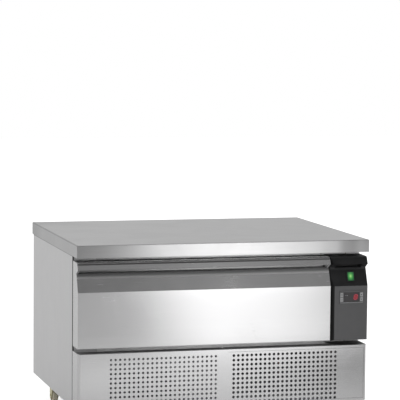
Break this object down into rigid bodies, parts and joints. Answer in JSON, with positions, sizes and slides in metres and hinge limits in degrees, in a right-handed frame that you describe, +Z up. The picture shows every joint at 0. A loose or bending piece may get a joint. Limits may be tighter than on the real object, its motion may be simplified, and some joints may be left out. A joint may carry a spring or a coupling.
{
  "type": "refrigerated drawer unit",
  "caption": "Low counter fridge with a wide insulated drawer for food pans, a control column and a perforated machine compartment cover, on swivel castors.",
  "frame": {"origin": "on the floor, under the middle of the worktop", "axes": "+X to the right along the front, +Y to the back, +Z up; the drawer opens towards -Y"},
  "size_m": [0.907, 0.703, 0.572],
  "materials": {
    "steel": "brushed, horizontal grain on the front",
    "inner_steel": "brushed",
    "galvanised": "zinc coated",
    "foam": "rigid foam",
    "black_moulding": "fine texture",
    "fascia": "satin anthracite",
    "switch_black": "satin black",
    "thermostat_black": "satin black",
    "display": "dark red window",
    "rocker_green": "lit translucent green",
    "key_grey": "soft keys",
    "black_paint": "satin black paint",
    "coil_aluminium": "thin fins",
    "shroud_steel": "zinc coated",
    "motor_grey": "satin",
    "tray_plastic": "smooth",
    "copper": "drawn copper pipe",
    "runner_steel": "bright zinc",
    "castor_zinc": "yellow passivated zinc",
    "gasket": "soft",
    "fan_black": "moulded",
    "wheel_grey": "smooth tread",
    "pedal_plastic": "smooth"
  },
  "bodies": {
    "cabinet": {"worktop": "steel", "side_panel_left": "steel", "side_panel_right": "steel", "rear_panel": "galvanised", "base_tray": "galvanised", "compartment_ceiling": "galvanised", "insulation": "foam", "inner_liner": "inner_steel", "top_rail": "steel", "bottom_rail": "steel", "right_stile": "steel", "grille_panel": "steel", "grille_surround": "steel", "control_column": "black_moulding", "control_fascia": "fascia", "switch_bezel": "switch_black", "thermostat": "thermostat_black", "display_window": "display", "compressor": "black_paint", "condenser_coil": "coil_aluminium", "fan_shroud": "shroud_steel", "condenser_motor": "motor_grey", "evaporation_tray": "tray_plastic", "refrigerant_pipes": "copper", "evaporator_coil": "coil_aluminium", "evaporator_cover": "inner_steel", "evaporator_fan_frame": "switch_black", "runner_outer_left": "runner_steel", "runner_outer_right": "runner_steel", "castor_plates": "castor_zinc", "cable_gland": "switch_black"},
    "drawer": {"drawer_skin": "steel", "drawer_cap_left": "steel", "drawer_cap_right": "steel", "drawer_back": "inner_steel", "drawer_foam": "foam", "drawer_gasket": "gasket", "drawer_frame": "inner_steel", "runner_inner_left": "runner_steel", "runner_inner_right": "runner_steel"},
    "runner_middles": {"runner_middle_left": "runner_steel", "runner_middle_right": "runner_steel"},
    "rocker": {"rocker": "rocker_green"},
    "key_set": {"key_set": "key_grey"},
    "key_standby": {"key_standby": "key_grey"},
    "key_up": {"key_up": "key_grey"},
    "key_down": {"key_down": "key_grey"},
    "condenser_fan": {"condenser_fan": "fan_black"},
    "evaporator_fan": {"evaporator_fan": "fan_black"},
    "castor_front_left": {"castor_fork_front_left": "castor_zinc"},
    "wheel_front_left": {"castor_wheel_front_left": "wheel_grey"},
    "castor_front_right": {"castor_fork_front_right": "castor_zinc"},
    "wheel_front_right": {"castor_wheel_front_right": "wheel_grey"},
    "castor_rear_left": {"castor_fork_rear_left": "castor_zinc"},
    "wheel_rear_left": {"castor_wheel_rear_left": "wheel_grey"},
    "castor_rear_right": {"castor_fork_rear_right": "castor_zinc"},
    "wheel_rear_right": {"castor_wheel_rear_right": "wheel_grey"},
    "brake_left": {"castor_brake_left": "pedal_plastic"},
    "brake_right": {"castor_brake_right": "pedal_plastic"}
  },
  "joints": [
    {"name": "drawer_slide", "type": "slide", "parent": "cabinet", "child": "drawer", "axis": [0, -1, 0], "range_m": [0, 0.54]},
    {"name": "runner_slide", "type": "slide", "parent": "cabinet", "child": "runner_middles", "axis": [0, -1, 0], "range_m": [0, 0.27]},
    {"name": "rocker_tilt", "type": "hinge", "parent": "cabinet", "child": "rocker", "pos_m": [0.3985, -0.33553, 0.45752], "axis": [1, 0, 0], "range_deg": [-12, 0]},
    {"name": "key_set_press", "type": "slide", "parent": "cabinet", "child": "key_set", "axis": [0, 1, 0], "range_m": [0, 0.0008], "stiffness_N_per_m": 400},
    {"name": "key_standby_press", "type": "slide", "parent": "cabinet", "child": "key_standby", "axis": [0, 1, 0], "range_m": [0, 0.0008], "stiffness_N_per_m": 400},
    {"name": "key_up_press", "type": "slide", "parent": "cabinet", "child": "key_up", "axis": [0, 1, 0], "range_m": [0, 0.0008], "stiffness_N_per_m": 400},
    {"name": "key_down_press", "type": "slide", "parent": "cabinet", "child": "key_down", "axis": [0, 1, 0], "range_m": [0, 0.0008], "stiffness_N_per_m": 400},
    {"name": "condenser_fan_spin", "type": "hinge", "parent": "cabinet", "child": "condenser_fan", "pos_m": [-0.2535, -0.132, 0.1545], "axis": [0, 1, 0], "continuous": true},
    {"name": "evaporator_fan_spin", "type": "hinge", "parent": "cabinet", "child": "evaporator_fan", "pos_m": [0.327, 0.128, 0.359], "axis": [1, 0, 0], "continuous": true},
    {"name": "swivel_front_left", "type": "hinge", "parent": "cabinet", "child": "castor_front_left", "pos_m": [-0.407, -0.218, 0.064], "axis": [0, 0, 1], "continuous": true},
    {"name": "roll_front_left", "type": "hinge", "parent": "castor_front_left", "child": "wheel_front_left", "pos_m": [-0.407, -0.2, 0.025], "axis": [1, 0, 0], "continuous": true},
    {"name": "swivel_front_right", "type": "hinge", "parent": "cabinet", "child": "castor_front_right", "pos_m": [0.407, -0.218, 0.064], "axis": [0, 0, 1], "continuous": true},
    {"name": "roll_front_right", "type": "hinge", "parent": "castor_front_right", "child": "wheel_front_right", "pos_m": [0.407, -0.2, 0.025], "axis": [1, 0, 0], "continuous": true},
    {"name": "swivel_rear_left", "type": "hinge", "parent": "cabinet", "child": "castor_rear_left", "pos_m": [-0.407, 0.197, 0.064], "axis": [0, 0, 1], "continuous": true},
    {"name": "roll_rear_left", "type": "hinge", "parent": "castor_rear_left", "child": "wheel_rear_left", "pos_m": [-0.407, 0.215, 0.025], "axis": [1, 0, 0], "continuous": true},
    {"name": "swivel_rear_right", "type": "hinge", "parent": "cabinet", "child": "castor_rear_right", "pos_m": [0.407, 0.197, 0.064], "axis": [0, 0, 1], "continuous": true},
    {"name": "roll_rear_right", "type": "hinge", "parent": "castor_rear_right", "child": "wheel_rear_right", "pos_m": [0.407, 0.215, 0.025], "axis": [1, 0, 0], "continuous": true},
    {"name": "brake_left_press", "type": "hinge", "parent": "castor_front_left", "child": "brake_left", "pos_m": [-0.407, -0.188, 0.054], "axis": [1, 0, 0], "range_deg": [-8, 0]},
    {"name": "brake_right_press", "type": "hinge", "parent": "castor_front_right", "child": "brake_right", "pos_m": [0.407, -0.188, 0.054], "axis": [1, 0, 0], "range_deg": [-8, 0]}
  ],
  "couplings": [
    {"joint": "runner_slide", "follows": "drawer_slide", "ratio": 0.5}
  ]
}
